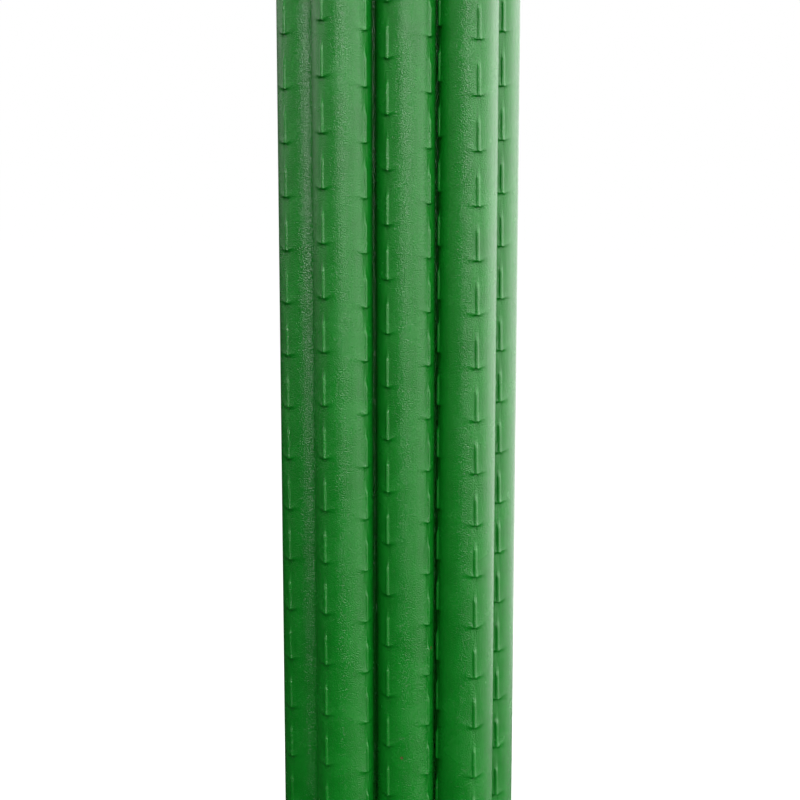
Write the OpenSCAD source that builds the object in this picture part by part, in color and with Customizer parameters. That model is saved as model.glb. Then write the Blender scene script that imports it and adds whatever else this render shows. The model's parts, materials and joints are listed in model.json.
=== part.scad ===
// A bundle of plastic-coated steel stakes, packed three, four and three to a row
// and held by two welded straps. Millimetres. +Z runs up the stakes, their points
// stand on Z = 0, the bundle's axis is the Z axis, and the front row faces -Y.

/* [Stake] */
// Length of a stake, from its point to the top of its cap
stake_length = 900; // [600:10:1200]
// Outside diameter of the plastic coat between its ribs
coat_diameter = 16; // [12:0.5:20]
// Thickness of the plastic coat
coat_wall = 0.5; // [0.4:0.1:1]
// Wall of the steel tube
tube_wall = 0.5; // [0.4:0.1:1.2]

/* [Ribs] */
// Distance from one rib to the next along a row
rib_pitch = 14.4; // [12:0.1:24]
// Length of one rib, measured at its root in the wall of the coat
rib_length = 7.6; // [5:0.1:9.5]
// Height of a rib above the coat at its foot
rib_height = 0.5; // [0.3:0.1:0.8]
// Height of a rib above the coat where its crest ends
rib_crest_end = 0.35; // [0.2:0.05:0.6]
// Width of a rib
rib_width = 0.8; // [0.6:0.1:1.2]
// Length of the slope at the upper end of a rib
rib_slope = 1; // [0.5:0.1:2]

/* [Point and cap] */
// Height of the point's cone
cone_height = 34; // [24:1:50]
// Radius of the rounded end of the point
nose_radius = 1.5; // [1:0.1:3]
// Depth of the socket that holds the tube in the point
point_socket = 17; // [12:1:25]
// Depth of the socket that holds the tube in the cap
cap_socket = 17; // [12:1:25]
// Height of the cap's dome
dome_height = 5; // [4:0.5:8]
// How far the cap and the point stand proud of the coat
lip = 0.2; // [0.1:0.05:0.3]
// Height of the bead round the mouth of the cap and of the point
bead_height = 2; // [1.5:0.5:3]

/* [Strap] */
// Width of a strap
strap_width = 12; // [9:0.5:16]
// Thickness of a strap
strap_thickness = 0.6; // [0.4:0.1:1]
// Length of the welded overlap of a strap
weld_length = 12; // [8:0.5:12]
// Height of the middle of a strap above or below the stakes' ends
strap_inset = 165; // [90:5:250]

/* [Fits] */
// Glue gap between the tube and the coat
bond_gap = 0.02; // [0.02:0.01:0.05]
// Clearance round the tube in its sockets
socket_clearance = 0.05; // [0.02:0.01:0.1]
// Clearance between a rib and what lies beside it
rib_clearance = 0.3; // [0.3:0.05:0.6]

/* [Hidden] */
$fn = 96;
coat_radius = coat_diameter / 2;
tube_radius = coat_radius - coat_wall - bond_gap;
socket_radius = tube_radius + socket_clearance;
shell_radius = coat_radius + lip;
waist_radius = coat_radius + lip / 2;

// Heights, from the ground up
tube_bottom = cone_height;
coat_bottom = cone_height + point_socket;
cap_bottom = stake_length - dome_height - cap_socket;
tube_top = cap_bottom + cap_socket;

// How far a cutting shape runs past what it cuts
overshoot = 1;

// Rows of ribs round a stake, and how far the ribs keep from the ends of the coat
rows = 4;
rib_margin = 1;
// Where the first foot of a row stands, before its start moves it up
first_foot = coat_bottom + rib_margin;

// Where each stake stands, in steps of the spacing: along the row, and the row itself
spacing = coat_diameter + rib_height + rib_clearance;
row_step = spacing * sqrt(3) / 2;
grid = [
  [-1, -1], [0, -1], [1, -1],
  [-1.5, 0], [-0.5, 0], [0.5, 0], [1.5, 0],
  [-1, 1], [0, 1], [1, 1]
];
// How far each stake is turned about its own length, in degrees
turn = [44, 46, 11, 39, 45, 44, 15, 44, 45, 47];
// Where the ribs of each of the four rows start on each stake, as a share of the pitch
start = [
  [0.35, 0.10, 0.97, 0.79], [0.55, 0.85, 0.30, 0.69], [0.20, 0.45, 0.90, 0.64],
  [0.15, 0.50, 0.78, 0.05], [0.25, 0.60, 0.05, 0.40], [0.70, 0.15, 0.45, 0.95],
  [0.30, 0.65, 0.10, 0.84],
  [0.80, 0.25, 0.60, 0.35], [0.05, 0.75, 0.20, 0.50], [0.40, 0.90, 0.55, 0.10]
];

// Corners of the strap's path: the outer stakes, counterclockwise from the front right one
corners = [2, 6, 9, 7, 3, 0];
corner_angle = 60;
first_normal = -90;
weld_side = 1;
strap_radius = coat_radius + rib_height + rib_clearance;

function two_digits(n) = n < 10 ? str("0", n) : str(n);
function stake_name(i) = str("stake_", two_digits(i + 1));
function place(i) = [grid[i][0] * spacing, grid[i][1] * row_step, 0];

PIECES = ["tube", "coat", "cap", "tip"];

// Thin-walled steel tube, seated on the floor of the point's socket and on the roof of the cap's
module tube() {
  color("silver")
    translate([0, 0, tube_bottom])
      difference() {
        cylinder(r = tube_radius, h = tube_top - tube_bottom);
        translate([0, 0, -overshoot])
          cylinder(r = tube_radius - tube_wall, h = tube_top - tube_bottom + 2 * overshoot);
      }
}

// Side view of one rib: a square foot, a crest that falls slowly upwards, and a slope back to the coat
function rib_outline(foot) = let (root = coat_radius - coat_wall / 2) [
  [root, foot],
  [coat_radius + rib_height, foot],
  [coat_radius + rib_crest_end, foot + rib_length - rib_slope],
  [root, foot + rib_length]
];

// One row of ribs, joined by a strip that lies inside the coat's wall
module rib_row(share) {
  root = coat_radius - coat_wall / 2;
  inner = root - coat_wall / 4;
  foot = first_foot + share * rib_pitch;
  top = cap_bottom - rib_margin;
  ribs = floor((top - foot - rib_length) / rib_pitch);
  rotate([90, 0, 0])
    linear_extrude(height = rib_width, center = true)
      polygon(concat(
        [[inner, first_foot], [root, first_foot]],
        [for (n = [0:ribs]) for (p = rib_outline(foot + n * rib_pitch)) p],
        [[root, top], [inner, top]]
      ));
}

// Plastic coat with its four rows of ribs
module coat(i) {
  color([0.13, 0.50, 0.16])
    difference() {
      union() {
        translate([0, 0, coat_bottom])
          cylinder(r = coat_radius, h = cap_bottom - coat_bottom);
        for (row = [0:rows - 1])
          rotate([0, 0, turn[i] + row * 360 / rows]) rib_row(start[i][row]);
      }
      translate([0, 0, coat_bottom - overshoot])
        cylinder(r = coat_radius - coat_wall, h = cap_bottom - coat_bottom + 2 * overshoot);
    }
}

// Moulded cap: a sleeve over the tube's end, a bead round its mouth and a low dome
module cap() {
  dome_steps = 10;
  color([0.07, 0.30, 0.10])
    translate([0, 0, cap_bottom])
      difference() {
        rotate_extrude()
          polygon(concat(
            [[0, 0], [shell_radius, 0], [shell_radius, bead_height], [waist_radius, bead_height + lip]],
            [for (s = [0:dome_steps])
              let (a = 90 * s / dome_steps)
              [waist_radius * (s == dome_steps ? 0 : cos(a)), cap_socket + dome_height * sin(a)]]
          ));
        translate([0, 0, -overshoot]) cylinder(r = socket_radius, h = cap_socket + overshoot);
      }
}

// Moulded point: a cone with a rounded nose below a socket for the tube's lower end
module tip() {
  nose_steps = 6;
  // Slope of the cone's side, which the nose meets smoothly
  lean = atan((coat_radius - nose_radius) / (cone_height - nose_radius));
  color([0.07, 0.30, 0.10])
    difference() {
      rotate_extrude()
        polygon(concat(
          [for (s = [0:nose_steps])
            let (a = -90 + (90 - lean) * s / nose_steps)
            [s == 0 ? 0 : nose_radius * cos(a), nose_radius + nose_radius * sin(a)]],
          [
            [waist_radius, cone_height - bead_height],
            [waist_radius, coat_bottom - bead_height - lip],
            [shell_radius, coat_bottom - bead_height],
            [shell_radius, coat_bottom],
            [0, coat_bottom]
          ]
        ));
      translate([0, 0, cone_height]) cylinder(r = socket_radius, h = point_socket + overshoot);
    }
}

// Taut outline round the outer stakes, held off their centres by a radius
module outline(radius) {
  for (c = corners) translate(place(c)) circle(r = radius);
  polygon([for (k = [0:len(corners) - 1]) for (side = [0, 1])
    let (a = first_normal + corner_angle * (k + side))
    [place(corners[k])[0] + radius * cos(a), place(corners[k])[1] + radius * sin(a)]]);
}

// Flat strap round the bundle, with its welded overlap on one flank
module strap() {
  here = place(corners[weld_side]);
  run = norm(place(corners[weld_side + 1]) - here);
  color([0.85, 0.86, 0.82]) {
    linear_extrude(height = strap_width)
      difference() {
        outline(strap_radius + strap_thickness);
        outline(strap_radius);
      }
    translate(here)
      rotate([0, 0, first_normal + corner_angle * (weld_side + 1)])
        translate([strap_radius, (run - weld_length) / 2, 0])
          cube([2 * strap_thickness, weld_length, strap_width]);
  }
}

for (i = [0:len(grid) - 1]) {
  translate(place(i)) tube();
  translate(place(i)) coat(i);
  translate(place(i)) cap();
  translate(place(i)) tip();
}
translate([0, 0, strap_inset - strap_width / 2]) strap();  // strap_lower
translate([0, 0, stake_length - strap_inset - strap_width / 2]) strap();  // strap_upper
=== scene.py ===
import json
import math

import bpy
import numpy as np
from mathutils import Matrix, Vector

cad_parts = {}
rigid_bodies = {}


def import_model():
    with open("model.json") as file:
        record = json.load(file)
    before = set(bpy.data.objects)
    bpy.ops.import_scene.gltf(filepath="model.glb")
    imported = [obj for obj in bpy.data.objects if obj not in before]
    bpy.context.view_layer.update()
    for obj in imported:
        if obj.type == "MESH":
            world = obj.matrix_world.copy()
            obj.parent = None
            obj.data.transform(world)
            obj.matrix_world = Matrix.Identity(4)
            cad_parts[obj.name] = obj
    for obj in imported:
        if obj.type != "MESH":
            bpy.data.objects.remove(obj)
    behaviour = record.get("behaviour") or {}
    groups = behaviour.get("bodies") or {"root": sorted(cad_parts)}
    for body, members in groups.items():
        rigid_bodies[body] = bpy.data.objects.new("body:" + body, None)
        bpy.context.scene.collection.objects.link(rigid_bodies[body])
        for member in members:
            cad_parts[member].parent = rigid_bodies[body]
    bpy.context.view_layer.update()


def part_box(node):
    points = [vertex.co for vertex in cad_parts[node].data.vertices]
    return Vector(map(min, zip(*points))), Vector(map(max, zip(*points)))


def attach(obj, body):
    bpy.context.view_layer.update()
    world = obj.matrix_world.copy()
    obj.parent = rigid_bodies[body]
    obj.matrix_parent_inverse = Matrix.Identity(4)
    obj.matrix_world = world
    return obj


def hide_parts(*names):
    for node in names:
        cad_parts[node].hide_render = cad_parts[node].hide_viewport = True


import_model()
bpy.ops.object.select_all(action="DESELECT")


# ---------------------------------------------------------------- coats
# The coats are half a millimetre of polyethylene drawn over steel tubes, deep green and dry to the touch.
# Toothed wheels press four rows of short ribs into each coat while it is warm: a rib has a thin crest and a
# flared foot with a nick under it, and a shallow track runs from one rib to the next.

STAKES = [f"stake_{n:02d}" for n in range(1, 11)]
# How far each stake is turned about its length, in degrees
TURN = [44, 46, 11, 39, 45, 44, 15, 44, 45, 47]
# Where each of a stake's four rows starts, as a share of the pitch
START = [
    (0.35, 0.10, 0.97, 0.79), (0.55, 0.85, 0.30, 0.69),
    (0.20, 0.45, 0.90, 0.64), (0.15, 0.50, 0.78, 0.05),
    (0.25, 0.60, 0.05, 0.40), (0.70, 0.15, 0.45, 0.95),
    (0.30, 0.65, 0.10, 0.84), (0.80, 0.25, 0.60, 0.35),
    (0.05, 0.75, 0.20, 0.50), (0.40, 0.90, 0.55, 0.10),
]
COAT_R = 0.0080
BORE_R = 0.0075
PITCH = 0.0144
QUARTER = COAT_R * math.pi / 2
RIB_MARGIN = 0.001
CUT = 1e-7
WELD_DISTANCE = 1e-5
COAT_SMOOTH = math.radians(50)

coat_low, coat_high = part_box("stake_01_coat")


def only(piece):
    """Makes one piece the selected and active one."""
    bpy.ops.object.select_all(action="DESELECT")
    piece.select_set(True)
    bpy.context.view_layer.objects.active = piece


def points(piece):
    """The piece's vertices as an array of x, y and z."""
    flat = np.empty(len(piece.data.vertices) * 3)
    piece.data.vertices.foreach_get("co", flat)
    return flat.reshape(-1, 3)


def choose(piece, wanted):
    """Selects the vertices that wanted marks, and no others, in edit mode."""
    if bpy.context.object.mode == "EDIT":
        bpy.ops.object.mode_set(mode="OBJECT")
    only(piece)
    bpy.ops.object.mode_set(mode="EDIT")
    bpy.ops.mesh.select_mode(type="VERT")
    bpy.ops.mesh.select_all(action="DESELECT")
    bpy.ops.object.mode_set(mode="OBJECT")
    piece.data.vertices.foreach_set("select", wanted)
    bpy.ops.object.mode_set(mode="EDIT")


def apply(piece, kind, **settings):
    """Adds a modifier with these settings and applies it."""
    only(piece)
    modifier = piece.modifiers.new(kind.lower(), kind)
    for name, value in settings.items():
        setattr(modifier, name, value)
    bpy.ops.object.modifier_apply(modifier=modifier.name)


# One rib's share of a quarter of the coat, laid out flat: X goes round the stake, Z up it, -Y is outwards
bpy.ops.mesh.primitive_plane_add(size=1, rotation=(math.pi / 2, 0, 0))
rib = bpy.context.object
rib.scale = (QUARTER, PITCH, 1)
rib.location = (0, 0, PITCH / 2)
bpy.ops.object.transform_apply(location=True, rotation=True, scale=True)

# Cuts round the stake, from the middle of the rib, and up it, from the rib's foot, in millimetres
ACROSS = (0.18, 0.42, 0.52, 0.9, 3.4)
UP = (0.08, 0.40, 1.2, 7.2, 7.8, 8.3, 13.6)
ROWS = len(UP) + 1
bpy.ops.object.mode_set(mode="EDIT")
for x in ACROSS:
    for side in (-1, 1):
        bpy.ops.mesh.select_all(action="SELECT")
        bpy.ops.mesh.bisect(plane_co=(side * x / 1000, 0, 0), plane_no=(1, 0, 0), threshold=CUT)
for z in UP:
    bpy.ops.mesh.select_all(action="SELECT")
    bpy.ops.mesh.bisect(plane_co=(0, 0, z / 1000), plane_no=(0, 0, 1), threshold=CUT)
bpy.ops.object.mode_set(mode="OBJECT")


def lift(x, z, height):
    """Moves the points of the flat rib at x on both sides, at z, outwards by height, all in millimetres."""
    place = points(rib) * 1000
    at = (abs(abs(place[:, 0]) - x) < 0.05) & (abs(place[:, 2] - z) < 0.02)
    choose(rib, at)
    bpy.ops.transform.translate(value=(0, -height / 1000, 0))
    bpy.ops.object.mode_set(mode="OBJECT")


# The rounded crest, level for most of its length and falling abruptly to the track at its upper end
for z, height in ((0.08, 0.50), (0.40, 0.52), (1.2, 0.51), (7.2, 0.51), (7.8, 0.51), (8.3, -0.06)):
    lift(0.18, z, height)
# The steep sides of the rib, and the foot where they spread to a gusset above the nick
for x, z, height in (
        (0.42, 0.08, 0.44), (0.52, 0.08, 0.38), (0.9, 0.08, 0.20), (0.42, 0.40, 0.40), (0.52, 0.40, 0.24),
        (0.9, 0.40, 0.08), (0.42, 1.2, 0.30), (0.52, 1.2, -0.05), (0.42, 7.2, 0.30), (0.52, 7.2, -0.06),
        (0.42, 7.8, 0.30), (0.52, 7.8, -0.06), (0.42, 8.3, -0.06), (0.52, 8.3, -0.06)):
    lift(x, z, height)
# The shallow track, and the nick that it drops into under the next foot
for x, track, nick in ((0.18, -0.08, -0.34), (0.42, -0.08, -0.33), (0.52, -0.06, -0.30), (0.9, 0.0, -0.13)):
    lift(x, 13.6, track)
    for z in (0, PITCH * 1000):
        lift(x, z, nick)

# Towards the edges the rows of points even out, so that neighbouring quarters meet point to point
heights = [0, *UP, PITCH * 1000]
for x, share in ((ACROSS[-2], 0.15), (ACROSS[-1], 0.55), (QUARTER * 500, 1.0)):
    for n, z in enumerate(heights):
        place = points(rib) * 1000
        choose(rib, (abs(abs(place[:, 0]) - x) < 0.05) & (abs(place[:, 2] - z) < 0.01))
        bpy.ops.transform.translate(value=(0, 0, share * (n * PITCH / ROWS - z / 1000)))
        bpy.ops.object.mode_set(mode="OBJECT")

# A whole row: ribs one above another for a little more than the coat's length, then smoothed
first_foot = coat_low.z + RIB_MARGIN
SPARE = 2
ribs = math.ceil((coat_high.z - coat_low.z) / PITCH) + SPARE
row = rib
row.name = "rib_row"
apply(row, "ARRAY", count=ribs, use_relative_offset=False, use_constant_offset=True,
      constant_offset_displace=(0, 0, PITCH), use_merge_vertices=True, merge_threshold=WELD_DISTANCE)
apply(row, "SUBSURF", levels=1, render_levels=1)
row.location.z = first_foot - SPARE * PITCH
bpy.ops.object.transform_apply(location=True, rotation=False, scale=False)
STEP = PITCH / (2 * ROWS)
RIB_LENGTH = UP[5] / 1000


def rib_row(quarter, share):
    """The row for one quarter of a coat, moved up by a share of the pitch, plain beyond its whole ribs."""
    only(row)
    bpy.ops.object.duplicate()
    piece = bpy.context.object
    piece.location = (quarter * QUARTER, 0, share * PITCH)
    bpy.ops.object.transform_apply(location=True, rotation=False, scale=False)
    foot = first_foot + share * PITCH
    whole = math.floor((coat_high.z - RIB_MARGIN - foot - RIB_LENGTH) / PITCH)
    top = foot + whole * PITCH + RIB_LENGTH
    place = points(piece)
    choose(piece, (place[:, 2] < foot - 1.2 * STEP) | (place[:, 2] > top + 0.6 * STEP))
    bpy.ops.transform.resize(value=(1, 0, 1), center_override=(0, 0, 0))
    bpy.ops.object.mode_set(mode="OBJECT")
    edge = abs(abs(place[:, 0] - quarter * QUARTER) - QUARTER / 2) < 1e-5
    steps = share * PITCH / STEP
    choose(piece, edge)
    bpy.ops.transform.translate(value=(0, 0, (round(steps) - steps) * STEP))
    bpy.ops.object.mode_set(mode="OBJECT")
    return piece


def trim(piece, height, above):
    """Cuts a piece off level at a height, above or below it."""
    bpy.ops.mesh.select_all(action="SELECT")
    bpy.ops.mesh.bisect(plane_co=(0, 0, height), plane_no=(0, 0, 1), threshold=CUT,
                        clear_outer=above, clear_inner=not above)


def make_coat(stake, turn, shares):
    """One coat: four rows side by side, bent round to a tube, cut to length and given its bore."""
    quarters = [rib_row(n, share) for n, share in enumerate(shares)]
    only(quarters[0])
    for piece in quarters:
        piece.select_set(True)
    bpy.ops.object.join()
    coat = bpy.context.object
    coat.name = f"{stake}_skin"
    bpy.ops.object.mode_set(mode="EDIT")
    bpy.ops.mesh.select_all(action="SELECT")
    bpy.ops.mesh.remove_doubles(threshold=WELD_DISTANCE)
    bpy.ops.object.mode_set(mode="OBJECT")
    apply(coat, "SIMPLE_DEFORM", deform_method="BEND", deform_axis="Z", angle=2 * math.pi)
    coat.location.y = -COAT_R
    bpy.ops.object.transform_apply(location=True, rotation=False, scale=False)

    bpy.ops.object.mode_set(mode="EDIT")
    bpy.ops.mesh.select_all(action="SELECT")
    bpy.ops.mesh.remove_doubles(threshold=WELD_DISTANCE)
    trim(coat, coat_low.z, False)
    trim(coat, coat_high.z, True)
    bpy.ops.mesh.select_all(action="DESELECT")
    bpy.ops.mesh.select_non_manifold()
    bpy.ops.mesh.extrude_region_move()
    bpy.ops.transform.resize(value=(BORE_R / COAT_R, BORE_R / COAT_R, 1), center_override=(0, 0, 0))
    bpy.ops.mesh.bridge_edge_loops()
    bpy.ops.object.mode_set(mode="OBJECT")

    low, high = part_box(f"{stake}_tube")
    coat.rotation_euler.z = math.radians(turn + 90)
    coat.location = ((low.x + high.x) / 2, (low.y + high.y) / 2, 0)
    bpy.ops.object.transform_apply(location=True, rotation=True, scale=False)
    bpy.ops.object.shade_smooth_by_angle(angle=COAT_SMOOTH)
    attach(coat, stake)
    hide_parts(f"{stake}_coat")
    return coat


coats = [make_coat(*each) for each in zip(STAKES, TURN, START)]
bpy.data.objects.remove(row)


def named_group(name, inputs, outputs):
    """An empty shader node group with these sockets, and its two end nodes."""
    group = bpy.data.node_groups.new(name, "ShaderNodeTree")
    for label, kind, value in inputs:
        socket = group.interface.new_socket(name=label, in_out="INPUT", socket_type=f"NodeSocket{kind}")
        socket.default_value = value
    for label, kind in outputs:
        group.interface.new_socket(name=label, in_out="OUTPUT", socket_type=f"NodeSocket{kind}")
    return group, group.nodes.new("NodeGroupInput"), group.nodes.new("NodeGroupOutput")


def add(tree, kind, inputs=None, **settings):
    """A node with its settings, and its inputs set to values or linked from other nodes' outputs."""
    node = tree.nodes.new(f"ShaderNode{kind}")
    for name, value in settings.items():
        setattr(node, name, value)
    for key, value in (inputs or {}).items():
        if isinstance(value, bpy.types.NodeSocket):
            tree.links.new(value, node.inputs[key])
        else:
            node.inputs[key].default_value = value
    return node


def plastic_skin():
    """The dry, faintly pebbled skin of moulded or drawn polyethylene: colour, roughness and height."""
    group, given, made = named_group(
        "plastic_skin",
        [("Colour", "Color", (0.1, 0.1, 0.1, 1)), ("Deep Colour", "Color", (0.05, 0.05, 0.05, 1)),
         ("Pebble Size", "Float", 0.5), ("Blotch Size", "Float", 12.0), ("Drawing", "Float", 0.2),
         ("Dry", "Float", 0.45), ("Dry Range", "Float", 0.1)],
        [("Colour", "Color"), ("Roughness", "Float"), ("Height", "Float")])
    place = add(group, "TexCoord").outputs["Object"]
    per_mm = add(group, "Math", {0: 1000.0, 1: given.outputs["Pebble Size"]}, operation="DIVIDE")
    pebbles = add(group, "TexNoise", {"Vector": place, "Scale": per_mm.outputs[0], "Detail": 1.0,
                                      "Roughness": 0.5})
    coarse = add(group, "Math", {0: 1000.0, 1: given.outputs["Blotch Size"]}, operation="DIVIDE")
    blotches = add(group, "TexNoise", {"Vector": place, "Scale": coarse.outputs[0], "Detail": 4.0,
                                       "Roughness": 0.6})
    long_way = add(group, "Mapping", {"Vector": place, "Scale": (1, 1, 0.04)})
    lines = add(group, "TexNoise", {"Vector": long_way.outputs[0], "Scale": 1400.0, "Detail": 2.0})
    both = add(group, "Mix", {0: given.outputs["Drawing"], 2: blotches.outputs[0], 3: lines.outputs[0]})
    tone = add(group, "MapRange", {"Value": both.outputs[0], "From Min": 0.35, "From Max": 0.65})
    colour = add(group, "Mix", {0: tone.outputs[0], 6: given.outputs["Deep Colour"],
                                7: given.outputs["Colour"]}, data_type="RGBA")
    group.links.new(colour.outputs[2], made.inputs["Colour"])
    centred = add(group, "Math", {0: blotches.outputs[0], 1: 0.5}, operation="SUBTRACT")
    rough = add(group, "Math", {0: centred.outputs[0], 1: given.outputs["Dry Range"],
                                2: given.outputs["Dry"]}, operation="MULTIPLY_ADD")
    group.links.new(rough.outputs[0], made.inputs["Roughness"])
    height = add(group, "Math", {0: lines.outputs[0], 1: given.outputs["Drawing"], 2: pebbles.outputs[0]},
                 operation="MULTIPLY_ADD")
    group.links.new(height.outputs[0], made.inputs["Height"])
    return group


skin = plastic_skin()


def new_material(name):
    """A material with only its output node, and that node."""
    material = bpy.data.materials.new(name)
    material.use_nodes = True
    material.node_tree.nodes.clear()
    return material, material.node_tree, material.node_tree.nodes.new("ShaderNodeOutputMaterial")


def coat_green():
    """The green of the coats, with the rare brown speck of burnt plastic."""
    material, tree, end = new_material("coat_green")
    surface = add(tree, "Group", {
        "Colour": (0.0018, 0.145, 0.0085, 1), "Deep Colour": (0.0012, 0.115, 0.006, 1), "Pebble Size": 0.30,
        "Blotch Size": 9.0, "Drawing": 0.25, "Dry": 0.25, "Dry Range": 0.25}, node_tree=skin)
    place = add(tree, "TexCoord").outputs["Object"]
    cells = add(tree, "TexVoronoi", {"Vector": place, "Scale": 60.0})
    speck = add(tree, "MapRange", {"Value": cells.outputs["Distance"], "From Min": 0.020, "From Max": 0.028,
                                   "To Min": 1.0, "To Max": 0.0})
    colour = add(tree, "Mix", {0: speck.outputs[0], 6: surface.outputs["Colour"], 7: (0.09, 0.04, 0.02, 1)},
                 data_type="RGBA")
    bump = add(tree, "Bump", {"Height": surface.outputs["Height"], "Strength": 1.0, "Distance": 0.00014})
    shader = add(tree, "BsdfPrincipled", {
        "Base Color": colour.outputs[2], "Roughness": surface.outputs["Roughness"],
        "Normal": bump.outputs[0], "IOR": 1.51})
    tree.links.new(shader.outputs[0], end.inputs[0])
    return material


green = coat_green()
for coat in coats:
    coat.data.materials.clear()
    coat.data.materials.append(green)


# ---------------------------------------------------------------- steel tubes
# Each core is a tube rolled from half-millimetre steel strip and welded along its length, bare and dull.
# The coat, the cap and the point cover all of it, so the CAD tube stays and only gets its metal.

def rolled_steel():
    """Bare steel with fine drawing lines along the tube."""
    material, tree, end = new_material("rolled_steel")
    place = add(tree, "TexCoord").outputs["Object"]
    long_way = add(tree, "Mapping", {"Vector": place, "Scale": (1, 1, 0.02)})
    lines = add(tree, "TexNoise", {"Vector": long_way.outputs[0], "Scale": 2500.0, "Detail": 3.0})
    colour = add(tree, "ValToRGB", {"Fac": lines.outputs[0]})
    colour.color_ramp.elements[0].color = (0.36, 0.37, 0.38, 1)
    colour.color_ramp.elements[1].color = (0.62, 0.63, 0.64, 1)
    rough = add(tree, "MapRange", {"Value": lines.outputs[0], "To Min": 0.25, "To Max": 0.5})
    shader = add(tree, "BsdfPrincipled", {"Base Color": colour.outputs[0], "Metallic": 1.0,
                                          "Roughness": rough.outputs[0]})
    tree.links.new(shader.outputs[0], end.inputs[0])
    return material


steel = rolled_steel()
for stake in STAKES:
    tube = bpy.data.objects[f"{stake}_tube"]
    tube.data.materials.clear()
    tube.data.materials.append(steel)


# ---------------------------------------------------------------- caps
# A soft cap closes the upper end of each stake: a moulded polyethylene sleeve pressed over the tube, with a
# bead round its mouth that meets the coat, a low dome on top and the small mark of the mould's gate.

SIDES = 72
cap_low, cap_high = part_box("stake_01_cap")
tube_low, tube_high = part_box("stake_01_tube")
SOCKET_R = (tube_high.x - tube_low.x) / 2 + 0.00005
BEAD_R = (cap_high.x - cap_low.x) / 2
SLEEVE_R = BEAD_R - 0.0001
MOULD_SMOOTH = math.radians(40)


def turned(name, rings):
    """A piece turned round the Z axis: a ring of points, drawn out ring by ring and closed at both ends."""
    bpy.ops.mesh.primitive_circle_add(vertices=SIDES, radius=rings[0][0], location=(0, 0, rings[0][1]))
    piece = bpy.context.object
    piece.name = name
    bpy.ops.object.transform_apply(location=True, rotation=False, scale=False)
    bpy.ops.object.mode_set(mode="EDIT")
    bpy.ops.mesh.select_all(action="SELECT")
    bpy.ops.mesh.edge_face_add()
    radius, height = rings[0]
    for next_radius, next_height in rings[1:]:
        bpy.ops.mesh.extrude_region_move(TRANSFORM_OT_translate={"value": (0, 0, next_height - height)})
        scale = next_radius / radius
        bpy.ops.transform.resize(value=(scale, scale, 1), center_override=(0, 0, 0))
        radius, height = next_radius, next_height
    bpy.ops.mesh.select_all(action="SELECT")
    bpy.ops.mesh.normals_make_consistent(inside=False)
    bpy.ops.object.mode_set(mode="OBJECT")
    return piece


def copies(model, suffix, node, material):
    """Puts a copy of a modelled piece on every stake, in place of that stake's CAD node."""
    for stake, turn in zip(STAKES, TURN):
        only(model)
        bpy.ops.object.duplicate()
        piece = bpy.context.object
        piece.name = f"{stake}_{suffix}"
        low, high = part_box(f"{stake}_tube")
        piece.location = ((low.x + high.x) / 2, (low.y + high.y) / 2, 0)
        piece.rotation_euler.z = math.radians(turn)
        bpy.ops.object.transform_apply(location=True, rotation=True, scale=False)
        piece.data.materials.clear()
        piece.data.materials.append(material)
        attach(piece, stake)
        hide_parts(f"{stake}_{node}")
    bpy.data.objects.remove(model)


def moulded_green():
    """The darker green of the caps and points, smoother than the coats."""
    material, tree, end = new_material("moulded_green")
    surface = add(tree, "Group", {
        "Colour": (0.004, 0.13, 0.016, 1), "Deep Colour": (0.003, 0.09, 0.012, 1), "Pebble Size": 0.8,
        "Blotch Size": 6.0, "Drawing": 0.0, "Dry": 0.42, "Dry Range": 0.3}, node_tree=skin)
    bump = add(tree, "Bump", {"Height": surface.outputs["Height"], "Strength": 0.35, "Distance": 0.00005})
    shader = add(tree, "BsdfPrincipled", {
        "Base Color": surface.outputs["Colour"], "Roughness": surface.outputs["Roughness"],
        "Normal": bump.outputs[0], "IOR": 1.51})
    tree.links.new(shader.outputs[0], end.inputs[0])
    return material


DOME_STEPS = 9
DOME_BASE = tube_high.z
DOME_HEIGHT = cap_high.z - DOME_BASE
GATE_R = 0.0011
GATE_DEPTH = 0.0003
rises = [math.pi / 2 * n / DOME_STEPS for n in range(1, DOME_STEPS)]
dome = [(SLEEVE_R * math.cos(a), DOME_BASE + DOME_HEIGHT * math.sin(a)) for a in rises]
cap = turned("cap", [
    (SOCKET_R, tube_high.z), (SOCKET_R, cap_low.z + 0.0004), (SOCKET_R + 0.0003, cap_low.z),
    (BEAD_R - 0.0002, cap_low.z), (BEAD_R, cap_low.z + 0.0002), (BEAD_R, cap_low.z + 0.0018),
    (SLEEVE_R, cap_low.z + 0.0022), (SLEEVE_R, DOME_BASE), *dome,
    (GATE_R, cap_high.z - 0.00002), (GATE_R * 0.8, cap_high.z - GATE_DEPTH),
    (GATE_R * 0.2, cap_high.z - GATE_DEPTH)])
bpy.ops.object.shade_smooth_by_angle(angle=MOULD_SMOOTH)
dark_green = moulded_green()
copies(cap, "domed_cap", "cap", dark_green)


# ---------------------------------------------------------------- points
# The lower end is a solid moulded point that goes into the soil: a slim cone with a rounded nose, below a
# collar with the same bead as the cap's, pressed over the tube.

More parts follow.
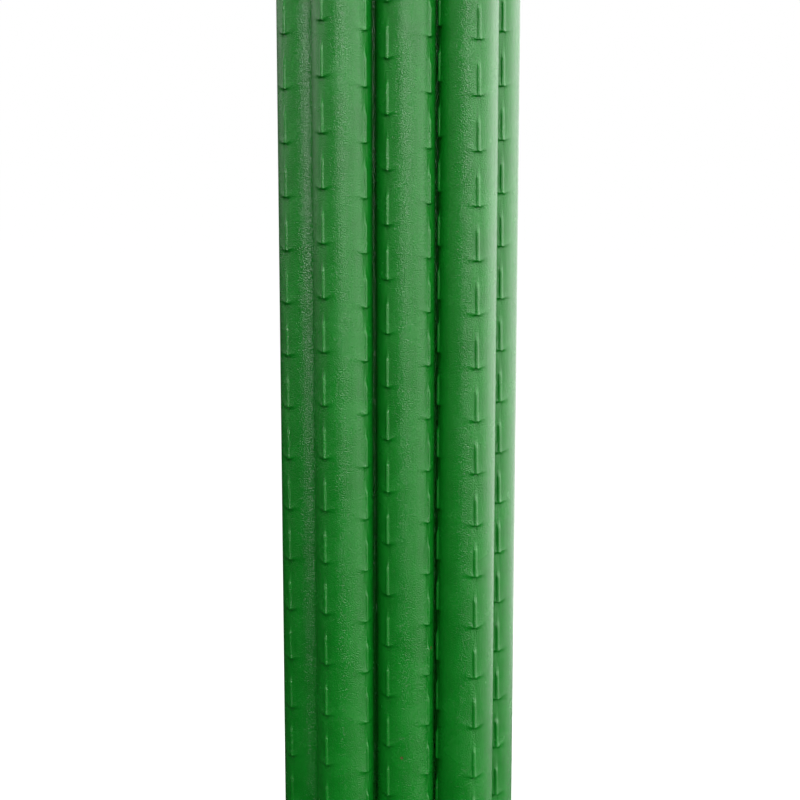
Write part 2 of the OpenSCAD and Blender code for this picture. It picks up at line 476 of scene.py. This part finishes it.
tip_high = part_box("stake_01_tip")[1]
NOSE_R = 0.0015
CONE_TOP = tube_low.z
lean = math.atan((COAT_R - NOSE_R) / (CONE_TOP - NOSE_R))
NOSE_STEPS = 6
rises = [-math.pi / 2 + (math.pi / 2 - lean) * n / NOSE_STEPS for n in range(1, NOSE_STEPS + 1)]
nose = [(NOSE_R * math.cos(a), NOSE_R + NOSE_R * math.sin(a)) for a in rises]
point = turned("point", [
    (0.0002, 0.0), *nose, (SLEEVE_R - 0.00015, CONE_TOP - 0.0025), (SLEEVE_R, CONE_TOP - 0.0018),
    (SLEEVE_R, tip_high.z - 0.0022), (BEAD_R, tip_high.z - 0.0018), (BEAD_R, tip_high.z - 0.0002),
    (BEAD_R - 0.0002, tip_high.z), (SOCKET_R + 0.0003, tip_high.z), (SOCKET_R, tip_high.z - 0.0004),
    (SOCKET_R, CONE_TOP)])
bpy.ops.object.shade_smooth_by_angle(angle=MOULD_SMOOTH)
copies(point, "moulded_point", "tip", dark_green)


# ---------------------------------------------------------------- straps
# Two machine straps hold the stakes: milky polypropylene band embossed with a fine waffle. Each is drawn
# tight round the outer stakes and welded to itself where its ends overlap on one flank.

STRAP = 0.0006
GAP = 0.0003
RIB = 0.0005
STRAP_R = COAT_R + RIB + GAP
CORNERS = ["stake_03", "stake_07", "stake_10", "stake_08", "stake_04", "stake_01"]
CORNER_STEPS = 10
BAND_EDGE = 0.00012
WELD_SIDE = 1
WELD_FACING = math.radians(30)
WELD = 0.012
WELD_EDGE = 0.0001
RIDGES = 7
RIDGE_DEPTH = 0.00015


def centre(stake):
    """The axis of a stake, on the ground."""
    low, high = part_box(f"{stake}_tube")
    return Vector(((low.x + high.x) / 2, (low.y + high.y) / 2, 0))


def make_strap(node):
    """The band: an upright line drawn along each flank and spun round each corner stake, then thickened."""
    low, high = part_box(node)
    start = centre(CORNERS[0]) + Vector((0, -STRAP_R, low.z))
    bpy.ops.mesh.primitive_plane_add(size=1, location=start)
    band = bpy.context.object
    band.name = f"{node}_band"
    bpy.ops.object.mode_set(mode="EDIT")
    bpy.ops.mesh.select_all(action="SELECT")
    bpy.ops.mesh.merge(type="CENTER")
    bpy.ops.mesh.select_all(action="SELECT")
    bpy.ops.mesh.extrude_region_move(TRANSFORM_OT_translate={"value": (0, 0, high.z - low.z)})
    bpy.ops.mesh.select_all(action="SELECT")
    for n, stake in enumerate(CORNERS):
        here = centre(stake)
        there = centre(CORNERS[(n + 1) % len(CORNERS)])
        bpy.ops.mesh.spin(steps=CORNER_STEPS, angle=math.radians(-60), center=here, axis=(0, 0, 1))
        bpy.ops.mesh.extrude_region_move(TRANSFORM_OT_translate={"value": there - here})
    bpy.ops.mesh.select_all(action="SELECT")
    bpy.ops.mesh.remove_doubles(threshold=WELD_DISTANCE)
    bpy.ops.mesh.normals_make_consistent(inside=False)
    bpy.ops.object.mode_set(mode="OBJECT")
    bpy.ops.object.transform_apply(location=True, rotation=False, scale=False)
    apply(band, "SOLIDIFY", thickness=STRAP, offset=1)
    apply(band, "BEVEL", width=BAND_EDGE, segments=2, limit_method="ANGLE", angle_limit=math.radians(60))
    return band


def make_weld(node):
    """The lapped end of the strap on its flank, with the shallow ridges that the welding jaw leaves."""
    low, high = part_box(node)
    here, there = centre(CORNERS[WELD_SIDE]), centre(CORNERS[WELD_SIDE + 1])
    out = Vector((math.cos(WELD_FACING), math.sin(WELD_FACING), 0))
    place = (here + there) / 2 + out * (STRAP_R + STRAP * 1.5)
    place.z = (low.z + high.z) / 2
    bpy.ops.mesh.primitive_cube_add(size=1)
    lap = bpy.context.object
    lap.name = f"{node}_weld"
    lap.scale = (STRAP, WELD, high.z - low.z)
    bpy.ops.object.transform_apply(location=False, rotation=False, scale=True)
    bpy.ops.object.mode_set(mode="EDIT")
    step = WELD * 0.55 / (RIDGES * 2)
    for n in range(-RIDGES, RIDGES + 1):
        bpy.ops.mesh.select_all(action="SELECT")
        bpy.ops.mesh.bisect(plane_co=(0, n * step, 0), plane_no=(0, 1, 0))
    bpy.ops.object.mode_set(mode="OBJECT")
    x, y = points(lap)[:, :2].T
    cut = y / step + RIDGES
    odd = (abs(cut - np.round(cut)) < 0.01) & (np.round(cut) % 2 == 1) & (x > 0)
    choose(lap, odd)
    bpy.ops.transform.translate(value=(-RIDGE_DEPTH, 0, 0))
    bpy.ops.object.mode_set(mode="OBJECT")
    lap.rotation_euler.z = WELD_FACING
    lap.location = place
    bpy.ops.object.transform_apply(location=True, rotation=True, scale=False)
    apply(lap, "BEVEL", width=WELD_EDGE, segments=2, limit_method="ANGLE", angle_limit=math.radians(60))
    return lap


def milky_band():
    """Milky polypropylene with an embossed waffle: fine diagonal furrows both ways."""
    material, tree, end = new_material("milky_band")
    surface = add(tree, "Group", {
        "Colour": (0.74, 0.75, 0.70, 1), "Deep Colour": (0.62, 0.63, 0.58, 1), "Pebble Size": 0.5,
        "Blotch Size": 5.0, "Drawing": 0.0, "Dry": 0.4, "Dry Range": 0.2}, node_tree=skin)
    place = add(tree, "TexCoord").outputs["Object"]
    furrows = []
    for turn in (math.radians(-45), math.radians(45)):
        tilted = add(tree, "Mapping", {"Vector": place, "Rotation": (turn, turn, 0)})
        wave = add(tree, "TexWave", {"Vector": tilted.outputs[0], "Scale": 260.0}, bands_direction="Z")
        furrows.append(wave.outputs["Fac"])
    waffle = add(tree, "Math", {0: furrows[0], 1: furrows[1]}, operation="MULTIPLY")
    deep = add(tree, "Math", {0: surface.outputs["Height"], 1: 0.3, 2: waffle.outputs[0]},
               operation="MULTIPLY_ADD")
    bump = add(tree, "Bump", {"Height": deep.outputs[0], "Strength": 0.5, "Distance": 0.0001})
    shader = add(tree, "BsdfPrincipled", {
        "Base Color": surface.outputs["Colour"], "Roughness": surface.outputs["Roughness"],
        "Normal": bump.outputs[0], "IOR": 1.49})
    tree.links.new(shader.outputs[0], end.inputs[0])
    return material


milky = milky_band()
for node in ("strap_lower", "strap_upper"):
    band, lap = make_strap(node), make_weld(node)
    for piece in (band, lap):
        only(piece)
        bpy.ops.object.shade_smooth_by_angle(angle=MOULD_SMOOTH)
        piece.data.materials.clear()
        piece.data.materials.append(milky)
        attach(piece, "straps")
        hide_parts(node)


# ---------------------------------------------------------------- floor, light and camera
# A pale floor runs on to the horizon. Camera rays see it glow by its own emission, white away from the
# bundle and dimmer near it, a painted soft shade round the bundle as on a studio sweep; other rays see it
# dark grey.
# Six soft boxes light the stakes: one large at the upper right, a small one in front that makes the sheen,
# and the rest at the sides, above and behind.

FLOOR_SIZE = 60
FLOOR_DROP = 0.0005
bpy.ops.mesh.primitive_plane_add(size=FLOOR_SIZE, location=(0, 0, -FLOOR_DROP))
floor = bpy.context.object
floor.name = "floor"
pale, tree, end = new_material("pale_floor")
place = add(tree, "TexCoord").outputs["Object"]
away = add(tree, "VectorMath", {0: place}, operation="LENGTH")
# Painted shade: the floor's glow is full white far out and falls to a little over half near the bundle
painted_shade_glow = add(tree, "MapRange", {"Value": away.outputs["Value"], "From Min": 0.1, "From Max": 0.9,
                              "To Min": 0.55, "To Max": 1.0}, interpolation_type="SMOOTHSTEP")
floor_emission = add(tree, "Emission", {"Color": (1, 1, 1, 1), "Strength": painted_shade_glow.outputs[0]})
near = add(tree, "BsdfDiffuse", {"Color": (0.12, 0.12, 0.12, 1)})
seen = add(tree, "AddShader", {0: near.outputs[0], 1: floor_emission.outputs[0]})
spread = add(tree, "BsdfDiffuse", {"Color": (0.015, 0.015, 0.015, 1)})
ray = add(tree, "LightPath")
both = add(tree, "MixShader", {0: ray.outputs["Is Camera Ray"], 1: spread.outputs[0], 2: seen.outputs[0]})
tree.links.new(both.outputs[0], end.inputs[0])
floor.data.materials.append(pale)

world = bpy.data.worlds.new("studio")
bpy.context.scene.world = world
world.use_nodes = True
tree = world.node_tree
tree.nodes.clear()
end = tree.nodes.new("ShaderNodeOutputWorld")
fill = add(tree, "Background", {"Color": (1, 1, 1, 1), "Strength": 0.006})
seen = add(tree, "Background", {"Color": (1, 1, 1, 1), "Strength": 1.0})
ray = add(tree, "LightPath")
both = add(tree, "MixShader", {0: ray.outputs["Is Camera Ray"], 1: fill.outputs[0], 2: seen.outputs[0]})
tree.links.new(both.outputs[0], end.inputs[0])


def towards(azimuth, elevation):
    """The way out from the bundle at an azimuth from the front and an elevation, both in radians."""
    level = math.cos(elevation)
    return Vector((math.sin(azimuth) * level, -math.cos(azimuth) * level, math.sin(elevation)))


def soft_box(name, azimuth, elevation, width, height, radiance):
    """A soft box that faces the middle of the view, as bright per square metre as radiance says."""
    way = towards(math.radians(azimuth), math.radians(elevation))
    bpy.ops.object.light_add(type="AREA", location=middle + way * LIGHT_DISTANCE,
                             rotation=way.to_track_quat("Z", "Y").to_euler())
    light = bpy.context.object
    light.name = name
    light.visible_camera = False
    light.data.shape = "RECTANGLE"
    light.data.size = width
    light.data.size_y = height
    light.data.energy = radiance * math.pi * width * height


RIBS_BELOW_VIEW = 31
VIEW_HEIGHT = first_foot + RIBS_BELOW_VIEW * PITCH
LIGHT_DISTANCE = 1.1
middle = Vector((0, 0, VIEW_HEIGHT))
soft_box("key_light", 70, 47, 3.9, 4.5, 2.9)
soft_box("front_light", -8, 12, 0.3, 0.26, 20)
soft_box("left_light", -96, 18, 2.6, 0.6, 1.3)
soft_box("right_rim", 121, -2, 2.0, 1.6, 1.9)
soft_box("top_light", -25, 64, 0.5, 0.4, 9)
soft_box("back_light", 180, 42, 1.2, 1.2, 2.2)

DISTANCE = 0.45
AZIMUTH = math.radians(-6.68)
ELEVATION = math.radians(9.18)
target = Vector((-0.00144, centre("stake_02").y, VIEW_HEIGHT))
back = towards(AZIMUTH, ELEVATION)
bpy.ops.object.camera_add(location=target + back * DISTANCE,
                          rotation=(-back).to_track_quat("-Z", "Y").to_euler())
camera = bpy.context.object
camera.data.lens = 74.4
camera.data.sensor_width = 36
bpy.context.scene.camera = camera
bpy.context.scene.view_settings.view_transform = "Standard"
